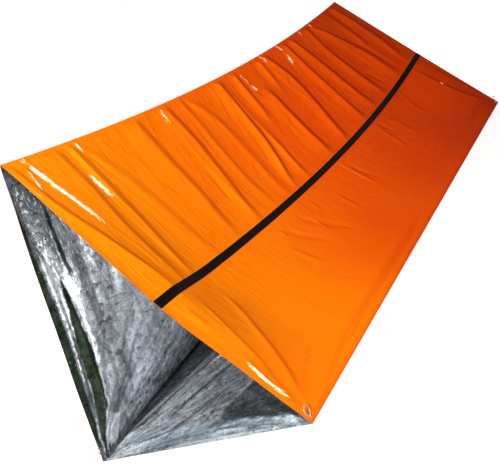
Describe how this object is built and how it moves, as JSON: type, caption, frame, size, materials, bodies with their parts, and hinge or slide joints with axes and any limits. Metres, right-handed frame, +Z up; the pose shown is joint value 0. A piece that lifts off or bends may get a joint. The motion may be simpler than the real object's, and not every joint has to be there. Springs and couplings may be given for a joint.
{
  "type": "emergency tube tent",
  "caption": "Open-ended tube of orange film lined with silver foil, pitched as a low ridge tent with a sagging ridge, its corners pinned down by wire pegs.",
  "frame": {"origin": "on the ground, at the middle of the floor's flat underside", "axes": "+Z up; the ridge runs along Y, with the pictured entrance facing -Y; the pictured wall is on the +X side"},
  "size_m": [1.0238, 2.4006, 1.1184],
  "materials": {
    "orange_film": "thin glossy polyethylene film, bright orange, softly creased",
    "silver_foil": "crumpled vacuum-metallised foil ply, bright silver",
    "black_band": "plain black band on the film, slightly less glossy than it",
    "peg_wire": "bare bent steel wire"
  },
  "bodies": {
    "tent": {"right_wall_film": "orange_film", "left_wall_film": "orange_film", "floor_film": "orange_film", "right_wall_foil": "silver_foil", "left_wall_foil": "silver_foil", "floor_foil": "silver_foil", "right_stripe": "black_band", "left_stripe": "black_band"},
    "peg_front_right": {"front_right_peg": "peg_wire"},
    "peg_front_left": {"front_left_peg": "peg_wire"},
    "peg_rear_right": {"rear_right_peg": "peg_wire"},
    "peg_rear_left": {"rear_left_peg": "peg_wire"}
  },
  "joints": [
    {"name": "front_right_peg_pull", "type": "slide", "parent": "tent", "child": "peg_front_right", "axis": [0, 0, 1], "range_m": [0, 0.15]},
    {"name": "front_left_peg_pull", "type": "slide", "parent": "tent", "child": "peg_front_left", "axis": [0, 0, 1], "range_m": [0, 0.15]},
    {"name": "rear_right_peg_pull", "type": "slide", "parent": "tent", "child": "peg_rear_right", "axis": [0, 0, 1], "range_m": [0, 0.15]},
    {"name": "rear_left_peg_pull", "type": "slide", "parent": "tent", "child": "peg_rear_left", "axis": [0, 0, 1], "range_m": [0, 0.15]}
  ]
}
